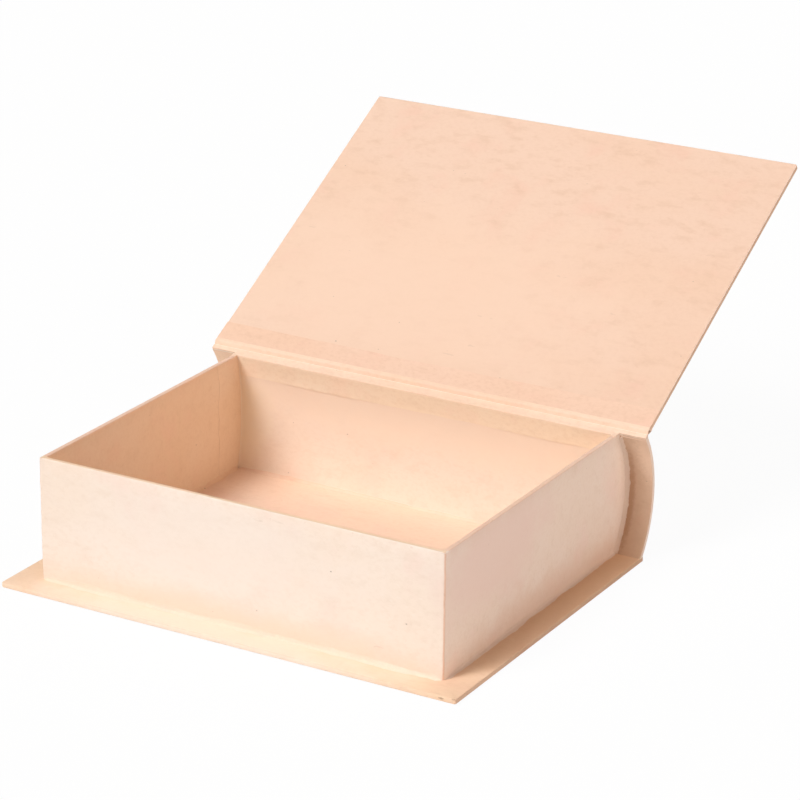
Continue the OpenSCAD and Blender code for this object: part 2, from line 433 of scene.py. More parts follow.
def new_group(name, inputs, outputs):
    """An empty shader group. An input without a value is a place, and one with four numbers is a colour."""
    group = bpy.data.node_groups.new(name, "ShaderNodeTree")
    for label, value in inputs.items():
        kind = "Vector" if value is None else "Color" if isinstance(value, tuple) else "Float"
        socket = group.interface.new_socket(label, in_out="INPUT", socket_type="NodeSocket" + kind)
        if value is not None:
            socket.default_value = value
    for label, kind in outputs.items():
        group.interface.new_socket(label, in_out="OUTPUT", socket_type="NodeSocket" + kind)
    start = group.nodes.new("NodeGroupInput")
    end = group.nodes.new("NodeGroupOutput")
    start.location, end.location = (-900, 0), (900, 0)
    return Wiring(group), start.outputs, end.inputs


def pulp_group():
    """Cloudy pulp: slow drifts of tint, blotches drawn out along the sheet, a fine mottle and pale flecks."""
    w, given, gives = new_group(
        "Paper pulp",
        {
            "Vector": None,
            "Base tint": (0.8, 0.6, 0.45, 1),
            "Pale tint": (0.85, 0.65, 0.5, 1),
            "Pink tint": (0.85, 0.6, 0.5, 1),
            "Deep tint": (0.7, 0.5, 0.36, 1),
            "Cloud scale": 20.0,
            "Blotch": 0.3,
            "Mottle": 0.25,
        },
        {"Colour": "Color", "Height": "Float", "Roughness": "Float"},
    )
    place = given["Vector"]
    slow = w.noise(w.turn(place, scale=(0.55, 1, 1)), given["Cloud scale"])
    colour = w.mix(w.ramp(slow, 0.36, 0.64), given["Base tint"], given["Pale tint"])
    blush = w.noise(w.turn(place, place=(3, 1, 2)), 48.0, 3.0, 0.55)
    colour = w.mix(w.times(w.ramp(blush, 0.5, 0.72), 0.75), colour, given["Pink tint"])
    blotch = w.noise(w.turn(place, angles=(0.1, 0.1, 0.15), scale=(0.45, 1, 1)), 210.0, 4.0, 0.6)
    fine = w.noise(w.turn(place, scale=(0.7, 1, 1)), 720.0, 3.0, 0.6)
    shade = w.times(w.ramp(blotch, 0.48, 0.72), given["Blotch"])
    shade = w.plus(shade, w.times(w.ramp(fine, 0.42, 0.74), given["Mottle"]), clamp=True)
    colour = w.mix(shade, colour, given["Deep tint"])
    close, tone = w.cells(w.turn(place, scale=(0.6, 1, 1)), 520.0)
    flecks = w.times(w.ramp(close, 0.12, 0.34, 1.0, 0.0), w.below(w.channel(tone, "Red"), 0.22))
    colour = w.mix(w.times(flecks, 0.5), colour, given["Pale tint"])
    height = w.plus(w.times(w.noise(place, 1900.0, 2.0, 0.6), 0.3), w.times(fine, 0.5))
    w.put(colour, gives["Colour"])
    w.put(w.plus(height, w.times(blotch, 0.9)), gives["Height"])
    w.put(w.ramp(fine, 0.3, 0.7, 0.78, 0.96), gives["Roughness"])


def fibre_group():
    """Masks of sparse soft specks and short curled fibres caught in the pulp."""
    w, given, gives = new_group(
        "Pulp fibres",
        {
            "Vector": None,
            "Speck scale": 240.0,
            "Speck share": 0.12,
            "Fibre scale": 150.0,
            "Fibre share": 0.12,
        },
        {"Specks": "Float", "Fibres": "Float"},
    )
    place = given["Vector"]
    close, tone = w.cells(w.turn(place, (0, 0, 0.4), (0.7, 1, 1)), given["Speck scale"])
    size = w.math("MULTIPLY_ADD", w.channel(tone, "Green"), 0.06, 0.035)
    faint = w.math("MULTIPLY_ADD", w.channel(tone, "Blue"), 0.8, 0.2)
    dot = w.ramp(close, w.times(size, 0.4), size, 1.0, 0.0)
    dot = w.times(dot, w.below(w.channel(tone, "Red"), given["Speck share"]))
    w.put(w.times(dot, faint), gives["Specks"])
    curl = w.times(w.noise(place, 180.0, 2.0), 0.004)
    curl = w.make("CombineXYZ", {0: curl, 1: curl, 2: curl})[0]
    fibres = 0.0
    for k, angle in enumerate((0.5, 1.9, 2.8)):
        lean = w.turn(place, (angle * 0.7, angle * 0.4, angle), (0.16, 1.25, 1.25), (0.31 * k, 0.17 * k, 0))
        close, tone = w.cells(w.vector("ADD", lean, curl), given["Fibre scale"])
        few = w.below(w.channel(tone, "Blue"), given["Fibre share"])
        fibres = w.math("MAXIMUM", fibres, w.times(w.ramp(close, 0.035, 0.09, 1.0, 0.0), few))
    w.put(fibres, gives["Fibres"])


def rub_group():
    """Patchy wear on the rounded edges of the boards, from a piece's own rub marks."""
    w, given, gives = new_group(
        "Edge rub",
        {"Vector": None, "Rub": 0.0, "Patch scale": 160.0},
        {"Worn": "Float", "Scuffs": "Float"},
    )
    patch = w.noise(given["Vector"], given["Patch scale"], 4.0, 0.65)
    w.put(w.times(given["Rub"], w.ramp(patch, 0.3, 0.62)), gives["Worn"])
    scuff = w.noise(w.turn(given["Vector"], place=(5, 3, 1)), w.times(given["Patch scale"], 2.6), 3.0, 0.7)
    w.put(w.times(given["Rub"], w.ramp(scuff, 0.62, 0.76)), gives["Scuffs"])


def spot_group():
    """A soft patch round a point of the box, with a ragged edge."""
    w, given, gives = new_group(
        "Patch round a point",
        {"Vector": None, "Point": None, "Reach": None, "Ragged": 0.5, "Ragged scale": 60.0},
        {"Mask": "Float"},
    )
    off = w.vector("SUBTRACT", given["Vector"], given["Point"])
    far = w.vector("LENGTH", w.vector("DIVIDE", off, given["Reach"]))
    stray = w.math("SUBTRACT", w.noise(given["Vector"], given["Ragged scale"], 3.0, 0.6), 0.5)
    stray = w.times(w.times(stray, given["Ragged"]), 2.0)
    w.put(w.ramp(w.plus(far, stray), 0.25, 1.0, 1.0, 0.0), gives["Mask"])


def spot(at, reach, ragged, strength, ink):
    """A patch for a paper: its middle and reach in millimetres, its ragged edge, its strength and its ink."""
    scale = 60.0 if min(reach) > 10 else 700.0
    return [c * MM for c in at], [r * MM for r in reach], ragged, scale, strength, (*ink, 1)


def tinted(colour, *shares):
    """A colour with its red, green and blue scaled."""
    return [part * share for part, share in zip(colour, shares)]


def paper(name, base, seed, blotch=0.25, mottle=0.25, bump=0.05, spots=()):
    """A sheet of dry, uneven pulp paper: clouds, mottle, specks, fibres, rubbed edges and patches, most of
    them painted light or painted shade.
    """
    fibre_ink = (0.36, 0.23, 0.14, 1)
    speck_ink = (0.20, 0.13, 0.08, 1)
    finish = bpy.data.materials.new(name)
    finish.use_nodes = True
    shader = finish.node_tree.nodes["Principled BSDF"].inputs
    w = Wiring(finish.node_tree)
    where = w.make("TexCoord")["Object"]
    place = w.turn(where, place=(seed * 0.37, seed * 0.53, seed * 0.19))
    tint = lambda *shares: (*tinted(base, *shares), 1)

    def effect(group, **values):
        """One of the shared groups, with its own values."""
        values = {label.replace("_", " "): value for label, value in values.items()}
        return w.make("Group", values, node_tree=bpy.data.node_groups[group])

    pulp = effect(
        "Paper pulp",
        Vector=place,
        Base_tint=tint(1, 1, 1),
        Pale_tint=tint(1.01, 1.035, 1.07),
        Pink_tint=tint(1.005, 0.96, 0.985),
        Deep_tint=tint(0.88, 0.84, 0.80),
        Blotch=blotch,
        Mottle=mottle,
    )
    fibre = effect("Pulp fibres", Vector=place)
    rub = w.make("Attribute", attribute_name="rub")["Fac"]
    edge = effect("Edge rub", Vector=where, Rub=rub)
    colour = pulp["Colour"]
    for point, reach, ragged, scale, strength, ink in spots:
        patch = effect(
            "Patch round a point", Vector=where, Point=point, Reach=reach, Ragged=ragged, Ragged_scale=scale
        )
        colour = w.mix(w.times(patch["Mask"], strength), colour, ink)
    colour = w.mix(w.times(edge["Worn"], 0.22), colour, tint(0.92, 0.82, 0.76))
    colour = w.mix(w.times(edge["Scuffs"], 0.28), colour, tint(0.70, 0.58, 0.50))
    colour = w.mix(w.times(fibre["Fibres"], 0.14), colour, fibre_ink)
    colour = w.mix(w.times(fibre["Specks"], 0.75), colour, speck_ink)
    height = w.plus(pulp["Height"], w.times(fibre["Fibres"], 0.4))
    relief = w.make("Bump", {"Strength": 1.0, "Distance": bump * MM, "Height": height})
    w.put(colour, shader["Base Color"])
    w.put(pulp["Roughness"], shader["Roughness"])
    w.put(relief["Normal"], shader["Normal"])
    w.put(0.2, shader["Specular IOR Level"])
    w.put(0.0, shader["Metallic"])


# Settings


def a_length(label, text, value, low, high):
    """A length that a maker may change, given in millimetres."""
    return FloatProperty(
        name=label,
        description=text,
        default=value * MM,
        min=low * MM,
        max=high * MM,
        unit="LENGTH",
        subtype="DISTANCE",
    )


def a_colour(label, text, value):
    """The colour of a paper."""
    return FloatVectorProperty(name=label, description=text, default=value, min=0, max=1, subtype="COLOR")


def a_light(label, text, value):
    """The light of a lamp, where 1 shows a sheet that faces it in the colour that is written."""
    return FloatProperty(name=label, description=text, default=value, min=0, max=3, subtype="FACTOR")


class BookBoxSizes(bpy.types.PropertyGroup):
    """Sizes of the papers that a maker would change."""

    edge_round: a_length("Edge round", "Radius of the paper round the edge of a board", 0.4, 0.1, 0.9)
    corner_round: a_length("Corner round", "Radius of the free corners of the base and the lid", 1.0, 0.8, 5)
    slip_width: a_length("Slip width", "Width of the slips along the foot of the walls", 1.9, 0.8, 4)
    strip_lift: a_length("Strip lift", "Height of a paper strip above the sheet under it", 0.14, 0.05, 0.3)
    leaf_on_wall: a_length("Hinge leaf on the wall", "Height of the hinge strip below the rim", 8.7, 5, 16)
    leaf_on_lid: a_length("Hinge leaf on the lid", "Depth of the hinge strip inside the lid", 9.6, 5, 20)
    strip_wander: a_length("Strip wander", "How far the torn edge of a strip strays", 0.6, 0, 3)


class BookBoxPapers(bpy.types.PropertyGroup):
    """Colours of the papers and the bare board; the strip paper and the lid lining hold painted light and
    painted shade.
    """

    kraft: a_colour("Outer paper", "Colour of the paper on the outside", (0.925, 0.785, 0.665))
    lining: a_colour("Lining paper", "Colour of the paper inside the tray", (0.915, 0.75, 0.615))
    # painted shade: the lid's lining is set darker and warmer than the tray's lining
    lid_lining: a_colour("Lid lining", "Colour of the paper inside the lid", (0.86, 0.61, 0.46))
    # painted light: the strip paper is set paler so that the hinge leaf on the rear wall, which faces a
    # little downwards, looks lit
    strip: a_colour("Strip paper", "Colour of the strips in the corners and on the hinge", (1.0, 0.825, 0.64))
    slip: a_colour("Slip paper", "Colour of the thin slips along the foot of the walls", (0.88, 0.71, 0.575))
    board: a_colour("Bare board", "Colour of the board under the papers", (0.42, 0.32, 0.23))


class BookBoxLight(bpy.types.PropertyGroup):
    """Strengths of the studio's lights."""

    key: a_light("Key light", "Light that a sheet facing the tall soft box gets", 0.935)
    side: a_light("Side light", "Light that a sheet facing the right hand lamp gets", 0.12)
    low: a_light("Low light", "Light that a sheet facing the low right hand lamp gets", 0.285)
    sky: a_light("Room light", "Light from all round", 0.09)


# Pieces


class BOOKBOX_OT_finishes(bpy.types.Operator):
    """Makes the paper and board finishes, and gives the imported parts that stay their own"""

    bl_idname = "bookbox.finishes"
    bl_label = "Papers and board"

    def execute(self, context):
        for make in (pulp_group, fibre_group, rub_group, spot_group):
            make()
        self.make_papers(context.scene.book_box_papers)
        for name, node in frame["nodes"].items():
            finish = "paper_outside"
            if name.endswith("_board"):
                finish = "raw_board"
            elif "strip" in name or "stay" in name or "crease" in name:
                finish = "paper_strips"
            # the lid's and the floor's linings are darker copies of the lining paper, painted shade
            elif name in ("lid_liner", "floor_liner"):
                finish = f"paper_{name[:-6]}_lining"
            elif "liner" in name:
                finish = "paper_inside"
            for slot in node.material_slots:
                slot.material = bpy.data.materials[finish]
        return {"FINISHED"}

    def make_papers(self, colours):
        """The papers, with patches of painted light and painted shade, and the tips of the base worn to the
        board.
        """
        kraft, lining, strip = colours.kraft, colours.lining, colours.strip
        # patches of painted light and painted shade on the outer paper
        outside_painted_light_and_shade = [
            # painted light: a paler patch across the middle of the front wall
            spot((-10, TRAY_Y, 30), (85, 20, 32), 0.5, 0.55, (0.91, 0.80, 0.715)),
            # painted shade: a darker, pinker patch on the upper front of the right wall
            spot((TRAY_X, -30, 40), (20, 60, 26), 0.6, 0.8, (0.90, 0.715, 0.625)),
            # painted shade: darker and warmer along the foot of the right wall
            spot((TRAY_X, 10, 2), (20, 100, 16), 0.8, 0.4, (0.82, 0.61, 0.47)),
            # painted shade: darker and warmer along the foot of the front wall
            spot((0, TRAY_Y, 3), (120, 20, 13), 0.6, 0.75, (0.915, 0.73, 0.59)),
        ]
        # patches of painted light and painted shade on the base, and its worn tips
        flange_painted_light_shade_and_wear = [
            # painted light: a paler patch along the front of the flange
            spot((-10, FRONT_Y, 2), (110, 30, 20), 0.4, 0.65, (0.90, 0.785, 0.68)),
            # painted shade: a darker, warmer patch on the right of the base, in the tray's shadow
            spot((94, 30, 10), (14, 120, 60), 0.4, 0.7, (0.80, 0.52, 0.32)),
        ]
        # two tips of the base are worn to the board
        for x, z in ((HALF_W, 1.9), (HALF_W - 6, 1.2)):
            flange_painted_light_shade_and_wear.append(spot((x, FRONT_Y, z), (1.6, 0.9, 0.55), 0.9, 0.7, (0.34, 0.21, 0.13)))
        liner_y, rear_y = ARC_Y + LINER_R, REAR_Y + REAR_FACE
        overhang_painted_light_and_shade = [
            # painted light: a paler patch near the top of the spine's inner face past the right end wall
            spot((HALF_W, liner_y, RIM_Z - 7), (9, 30, 18), 0.3, 0.8, (0.94, 0.70, 0.53)),
            # painted shade: a dark band on the spine's inner face beside the right end wall
            spot((TRAY_X + 2.2, liner_y, 22), (2.6, 30, 30), 0.4, 0.75, (0.55, 0.32, 0.20)),
        ]
        inside_painted_light = [
            # painted light: a paler band across the upper rear wall, under the hinge leaf
            spot((10, rear_y, RIM_Z - 13), (160, 14, 21), 0.4, 0.85, (0.985, 0.805, 0.655)),
            # painted light: a paler patch in the rear left corner, where the left wall shades the rear wall
            spot((-TRAY_X, rear_y, 24), (22, 14, 34), 0.4, 0.9, (0.985, 0.86, 0.68)),
        ]
        # painted light: a paler patch on the lower part of the standing lid
        lid_painted_light = [spot((-30, 115, 78), (140, 80, 60), 0.5, 0.8, (0.895, 0.655, 0.505))]
        paper("paper_outside", kraft, 1, spots=outside_painted_light_and_shade)
        paper("paper_flange", tinted(kraft, 0.96, 0.81, 0.67), 9, spots=flange_painted_light_shade_and_wear)
        # painted shade: a darker copy of the outer paper for the sides of the base and the lid and the
        # spine's inner face past the right end wall
        paper("paper_edges", tinted(kraft, 0.80, 0.66, 0.55), 12, spots=overhang_painted_light_and_shade)
        # painted shade: a darker copy of the outer paper, in the hinge crease, round the front corners and on
        # the rims of the end walls
        paper("paper_creases", tinted(kraft, 0.95, 0.79, 0.71), 8)
        paper("paper_inside", lining, 2, spots=inside_painted_light)
        # painted shade: a darker, more orange copy of the lining for the inner faces of the walls
        paper("paper_wall_lining", tinted(lining, 1.0, 0.92, 0.80), 10)
        # painted shade: a darker, more orange copy of the lining for the tray's floor
        paper("paper_floor_lining", tinted(lining, 0.975, 0.875, 0.82), 11)
        # painted shade: the lid's lining, darker than the tray's lining
        paper("paper_lid_lining", colours.lid_lining, 5, blotch=0.42, mottle=0.2, spots=lid_painted_light)
        # the hinge leaf inside the lid follows the lid lining's painted shade
        paper("paper_lid_strip", tinted(colours.lid_lining, 1.025, 1.0, 0.985), 7, mottle=0.35)
        # painted light: the paler strip paper
        paper("paper_strips", strip, 3, mottle=0.35)
        # painted shade: a darker copy of the strip paper for the band over the fold and the rims
        paper("paper_band", tinted(strip, 0.94, 0.84, 0.815), 13, mottle=0.35)
        paper("paper_slips", colours.slip, 6, blotch=0.15, mottle=0.2)
        paper("raw_board", colours.board, 4, blotch=0.6, mottle=0.6, bump=0.12)


class BOOKBOX_OT_base(bpy.types.Operator):
    """Wraps the base board in paper with soft edges"""

    bl_idname = "bookbox.base"
    bl_label = "Base papers"

    def execute(self, context):
        sizes = context.scene.book_box_sizes
        ledge = HALF_W - TRAY_X
        under_walls, off_spine, step_in, step_down = 0.6, 1.5, 0.05, 0.5
        rounded_zone = 2.3
        piece = block("base_papers", (-HALF_W, FRONT_Y, 0), (HALF_W, BACK_Y, BASE_TOP))
        open_mesh(piece)
        # under the tray the top lies lower, so that the floor's own paper shows there
        pick(piece, "faces", lambda f: f.normal.z > 0.99)
        bpy.ops.mesh.inset(thickness=(ledge + under_walls) * MM, depth=0)
        pick(piece, "verts", lambda v: near(v.co.z / MM, BASE_TOP) and 40 < v.co.y / MM < BACK_Y - 5)
        shift(ledge - off_spine, 0)
        by_middle = lambda c: abs(c.x) < 0.01 and abs(c.y) < 0.02
        pick(piece, "faces", lambda f: f.normal.z > 0.99 and by_middle(f.calc_center_median()))
        bpy.ops.mesh.inset(thickness=step_in * MM, depth=0)
        shift(0, -step_down)
        round_edges(piece, sizes.corner_round, 6, lambda e: along(e, "z") and mid(e).y < FRONT_Y + 1)

        def outer(v):
            x, y = abs(v.co.x / MM), v.co.y / MM
            return y < FRONT_Y + rounded_zone or near(y, BACK_Y) or x > HALF_W - rounded_zone

        def rim(e):
            back_top = near(mid(e).z, BASE_TOP) and near(mid(e).y, BACK_Y)
            return all(outer(v) for v in e.verts) and sharp(e) and not along(e, "z") and not back_top

        def flat(c):
            on_face = near(c.z, 0) or near(c.z, BASE_TOP) or near(abs(c.x), HALF_W) or near(c.y, FRONT_Y)
            return on_face or abs(c.x) < TRAY_X + 3 and c.y > FRONT_Y + 3

        round_edges(piece, sizes.edge_round, 3, rim)
        rest()
        mark_rub(piece, flat)
        dress(piece, "paper_flange", "box", ["base_cover_sheet", "flange_sheet"])
        # painted shade: the sides of the base take the darker edge paper
        repaper(piece, "paper_edges", lambda c, normal: abs(normal.x) > 0.8)
        return {"FINISHED"}


class BOOKBOX_OT_tray(bpy.types.Operator):
    """Wraps the three straight walls in paper that turns over their rim"""

    bl_idname = "bookbox.tray"
    bl_label = "Wall papers"

    def execute(self, context):
        sizes = context.scene.book_box_sizes
        corner_round = 2.5
        piece = block("wall_papers", (-TRAY_X, TRAY_Y, BOARD_TOP), (TRAY_X, AXIS_Y + 12, RIM_Z))
        open_mesh(piece)
        drop(piece, "faces", lambda f: abs(f.normal.z) > 0.9 or f.normal.y > 0.9, "ONLY_FACE")
        round_edges(piece, corner_round * MM, 6, lambda e: along(e, "z") and mid(e).y < 0)
        for axis, cuts in (("x", 23), ("y", 15), ("z", 7)):
            divide(piece, axis, cuts)
        thicken(piece, PLY, even=True)
        open_mesh(piece)

        def rim(e):
            by_wall = any(abs(f.normal.z) < 0.5 for f in e.link_faces)
            return by_wall and all(near(v.co.z / MM, RIM_Z) for v in e.verts)

        round_edges(piece, sizes.edge_round, 3, rim)
        # the end walls are cut off along the spine's inner face
        near_r, far_r = LINER_R + 0.35, LINER_R + 34
        low, high = math.radians(-62), math.radians(52)
        tool = bowed_sheet("tail_tool", TRAY_X + 6.4, ARC_Y, near_r, far_r, low, high, steps=64)
        carve(piece, tool)
        mark_rub(piece, lambda c: c.z < RIM_Z - 0.5 or near(c.z, RIM_Z))
        stands_for = ["wall_wrap", "front_wall_liner", "left_wall_liner", "right_wall_liner"]
        dress(piece, "paper_outside", "box", stands_for)
        # painted shade: the inner faces of the walls take the darker wall lining
        repaper(piece, "paper_wall_lining", lambda c, normal: abs(c.x) < TRAY_X - 0.5 and c.y > TRAY_Y + 0.5)
        # painted shade: the rims of the end walls take the darker crease paper
        on_rim = lambda c, normal: normal.z > 0.3 and c.z > RIM_Z - 0.6 and c.y > TRAY_Y + 3
        repaper(piece, "paper_creases", on_rim)
        return {"FINISHED"}


class BOOKBOX_OT_spine(bpy.types.Operator):
    """Wraps the bowed spine in paper, and lines the rear wall in front of it"""

    bl_idname = "bookbox.spine"
    bl_label = "Spine and rear wall papers"

    def execute(self, context):
        sizes = context.scene.book_box_sizes
        low, high = math.radians(-44), TOP_A - PAPER / SPINE_R
        piece = bowed_sheet("spine_papers", HALF_W, ARC_Y, LINER_R, SPINE_R, low, high, steps=40, columns=20)
        open_mesh(piece)
        take_all()
        bpy.ops.mesh.bisect(
            plane_co=(0, 0, BOARD_TOP * MM), plane_no=(0, 0, -1), use_fill=True, clear_outer=True
        )
        at_end = lambda e: near(abs(mid(e).x), HALF_W) and mid(e).z > BOARD_TOP + 0.05
        round_edges(piece, sizes.edge_round, 3, lambda e: at_end(e) and sharp(e))
        rest()

        def flat(c):
            on_arc = near(from_arc(c), SPINE_R, 0.06) or near(from_arc(c), LINER_R, 0.06)
            return on_arc or near(abs(c.x), HALF_W) or abs(c.x) < HALF_W - 1

        mark_rub(piece, flat)
        dress(piece, "paper_outside", "box", ["spine_cover_sheet", "spine_liner"])
        # painted shade: the spine's inner face past the right end wall takes the darker edge paper
        repaper(piece, "paper_edges", lambda c, normal: c.x > TRAY_X and from_arc(c) < LINER_R + 0.2)

        low, high = angle_at(BASE_TOP, REAR_FACE), angle_at(RIM_Z - 0.25, REAR_FACE)
        back = REAR_FACE + PAPER
        name = "rear_wall_paper"
        lining = bowed_sheet(name, INNER_X, REAR_Y, REAR_FACE, back, low, high, steps=26, columns=40)
        # it ripples, and lies flat towards the end walls
        ripple, flat_end = 0.22, 12
        for v in lining.data.vertices:
            c = v.co / MM
            v.co.y += ripple * MM * wave(c.x / 42, 3.3, c.z / 30) * held((INNER_X - abs(c.x)) / flat_end)
        dress(lining, "paper_inside", "box", ["rear_wall_liner"])
        return {"FINISHED"}


class BOOKBOX_OT_lid(bpy.types.Operator):
    """Wraps the lid board in paper and lines its inner face"""

    bl_idname = "bookbox.lid"
    bl_label = "Lid papers"

    def execute(self, context):
        sizes = context.scene.book_box_sizes
        lid_top = LID_Z + PLY
        piece = block("lid_papers", (-HALF_W, LID_FRONT, LID_Z), (HALF_W, LID_BACK, lid_top))
        open_mesh(piece)
        round_edges(piece, sizes.corner_round, 6, lambda e: along(e, "z") and mid(e).y < 0)
        round_edges(piece, sizes.edge_round, 3, lambda e: not along(e, "z") and not near(mid(e).y, LID_BACK))
        rest()

        def flat(c):
            on_side = near(abs(c.x), HALF_W) or near(c.y, LID_FRONT) or near(c.y, LID_BACK)
            return on_side or near(c.z, LID_Z) or near(c.z, lid_top)

        mark_rub(piece, flat)
        lay_open(piece)
        dress(piece, "paper_outside", "lid", ["lid_cover_sheet", "lid_liner"])
        # painted shade: the lid's inner face takes the darker lid lining
        repaper(piece, "paper_lid_lining", lambda c, normal: normal.z > 0.8)
        # painted shade: the sides of the lid take the darker edge paper
        repaper(piece, "paper_edges", lambda c, normal: abs(normal.x) > 0.8)
        return {"FINISHED"}


def foot_slip(name, length, rise, reach, seed, lean):
    """A ragged slip of paper along the X axis, glued over the corner between a wall behind it and a floor."""
    step, tip = 1.6, 2.5
    piece = flat_sheet(name, length / 2, 1, int(length / step), rows=2)
    for v in piece.data.vertices:
        x, row = v.co.x / MM, round(v.co.y / MM)
        taper = min(1.0, (length / 2 - abs(x)) / tip + 0.25)
        up = 1 + 0.6 * wave(x / 14, seed) + 0.3 * wave(x / 3, seed, 4)
        out = 1 + 0.5 * wave(x / 12, seed, 9) + 0.3 * wave(x / 3, seed, 13)
        up, out = rise * max(0.22, up) * taper, reach * max(0.3, out) * taper
        y, z = ((-0.04 + lean * up, up), (-0.30 * out, 0.34 * up), (-out, 0.04))[1 - row]
        v.co = Vector((x, y, z)) * MM
    face_outwards(piece, 2, 1)
    thicken(piece, SLIP_THICK)
    return piece


class BOOKBOX_OT_slips(bpy.types.Operator):
    """Lays the ragged paper slips along the foot of the walls, outside and inside"""

    bl_idname = "bookbox.slips"
    bl_label = "Slips along the walls"

    def execute(self, context):
        wide = context.scene.book_box_sizes.slip_width / MM
        back = ARC_Y + LINER_R * math.cos(angle_at(BASE_TOP + 1, LINER_R)) + 0.6
        below_middle = ARC_Z - BASE_TOP
        before_line = math.sqrt(REAR_FACE ** 2 - below_middle ** 2)
        rear = REAR_Y + before_line
        lean = below_middle / before_line
        # each slip is a little shorter than its wall
        side, inside, across = back - TRAY_Y - 1.2, rear - INNER_Y, 2 * INNER_X - 1.5
        foot_y, floor_y = back - side / 2, INNER_Y + inside / 2
        quarter = math.pi / 2
        # each slip's name, length, rise and reach in widths, seed, lean and turn, and where its middle is
        runs = (
            ("foot_slip_front", 2 * TRAY_X - 2, 0.85, 1.0, 1.5, 0, 0, (0, TRAY_Y)),
            ("foot_slip_right", side, 0.5, 0.7, 2.5, 0, quarter, (TRAY_X, foot_y)),
            ("foot_slip_left", side, 0.8, 0.9, 3.5, 0, -quarter, (-TRAY_X, foot_y)),
            ("floor_slip_rear", across, 0.5, 0.4, 4.5, lean, 0, (0, rear)),
            ("floor_slip_front", across, 0.9, 0.9, 5.5, 0, math.pi, (0, INNER_Y)),
            ("floor_slip_left", inside - 1, 0.9, 0.9, 6.5, 0, quarter, (-INNER_X, floor_y)),
            ("floor_slip_right", inside - 1, 0.9, 0.9, 7.5, 0, -quarter, (INNER_X, floor_y)),
        )
        for name, length, rise, reach, seed, tilt, turn, (x, y) in runs:
            piece = foot_slip(name, length, wide * rise, wide * reach, seed, tilt)
            place = Matrix.Translation((x * MM, y * MM, BASE_TOP * MM))
            piece.matrix_world = place @ Matrix.Rotation(turn, 4, "Z")
            settle(piece)
            level, _, where = name.split("_")
            plain = {"foot": "paper_outside", "floor": "paper_flange"}[level]
            # the rear floor slip takes the floor lining with its painted shade
            finish = {"front": "paper_slips", "rear": "paper_floor_lining"}.get(where, plain)
            dress(piece, finish, "box", [name.replace("slip", "strip")])
        return {"FINISHED"}


def bent_sheet(name, low, high, gone, corner, radius, cuts):
    """An upright sheet bent round a corner: a block without the faces that a test calls gone."""
    piece = block(name, low, high)
    open_mesh(piece)
    drop(piece, "faces", gone)
    at_corner = lambda e: near(mid(e).x, corner[0]) and near(mid(e).y, corner[1])
    round_edges(piece, radius * MM, 4, lambda e: along(e, "z") and at_corner(e))
    divide(piece, "z", cuts)
    rest()
    return piece


def corner_angle(name, seed):
    """A paper angle in the front left corner of the tray, with soft ragged edges."""
    x, y = -INNER_X + ANGLE_OFF, INNER_Y + ANGLE_OFF
    low, high = (x, y, BASE_TOP + 0.9), (x + ANGLE_X, y + ANGLE_Y, RIM_Z - 0.6)
    gone = lambda f: max(abs(f.normal.z), f.normal.x, f.normal.y) > 0.9
    piece = bent_sheet(name, low, high, gone, (x, y), radius=1.0, cuts=26)
    for v in piece.data.vertices:
        c = v.co / MM
        stray = 1.1 * wave(seed, c.z / 9) + 0.5 * wave(seed, c.z / 2.5, 3)
        if near(c.x, x + ANGLE_X):
            v.co.x += (stray - 1.0) * MM
        if near(c.y, y + ANGLE_Y):
            v.co.y += (stray - 1.3) * MM
    return piece


def lean_on_rear_wall(piece):
    """Turns a front angle into a rear one: mirrored front to back and bowed like the rear wall."""
    bowed = lambda z: REAR_Y + math.sqrt((REAR_FACE - ANGLE_OFF) ** 2 - (z - ARC_Z) ** 2)
    middle = bowed(ARC_Z)
    for v in piece.data.vertices:
        c = v.co / MM
        deep = c.y - INNER_Y - ANGLE_OFF
        near_wall = held(1 - deep / (ANGLE_Y - 2))
        # the leg's free edge on the rear wall runs out into the lining
        sunk = 0.16 if c.x > 12 - TRAY_X else 0.0
        v.co.y = (middle - deep - (middle - bowed(c.z)) * near_wall + sunk) * MM
    piece.data.flip_normals()


class BOOKBOX_OT_corners(bpy.types.Operator):
    """Glues the paper angles into the tray's four inner corners"""

    bl_idname = "bookbox.corners"
    bl_label = "Corner angles"

    def execute(self, context):
        on_end_wall = lambda c, normal: abs(normal.x) > 0.7 and abs(c.x) > INNER_X - 0.6
        for row, place in enumerate(("front", "rear")):
            for side, where in ((-1, "left"), (1, "right")):
                piece = corner_angle(f"corner_angle_{place}_{where}", 1.7 + row * 2 + side)
                if place == "rear":
                    lean_on_rear_wall(piece)
                if side > 0:
                    piece.data.transform(MIRROR)
                    piece.data.flip_normals()
                open_mesh(piece)
                face_one_way()
                face_outwards(piece, 0, -side)
                thicken(piece, ANGLE_THICK)
                dress(piece, "paper_inside", "box", [f"corner_stay_{place}_{where}"])
                # painted shade: the legs on the end walls take the darker wall lining
                repaper(piece, "paper_wall_lining", on_end_wall)
        return {"FINISHED"}


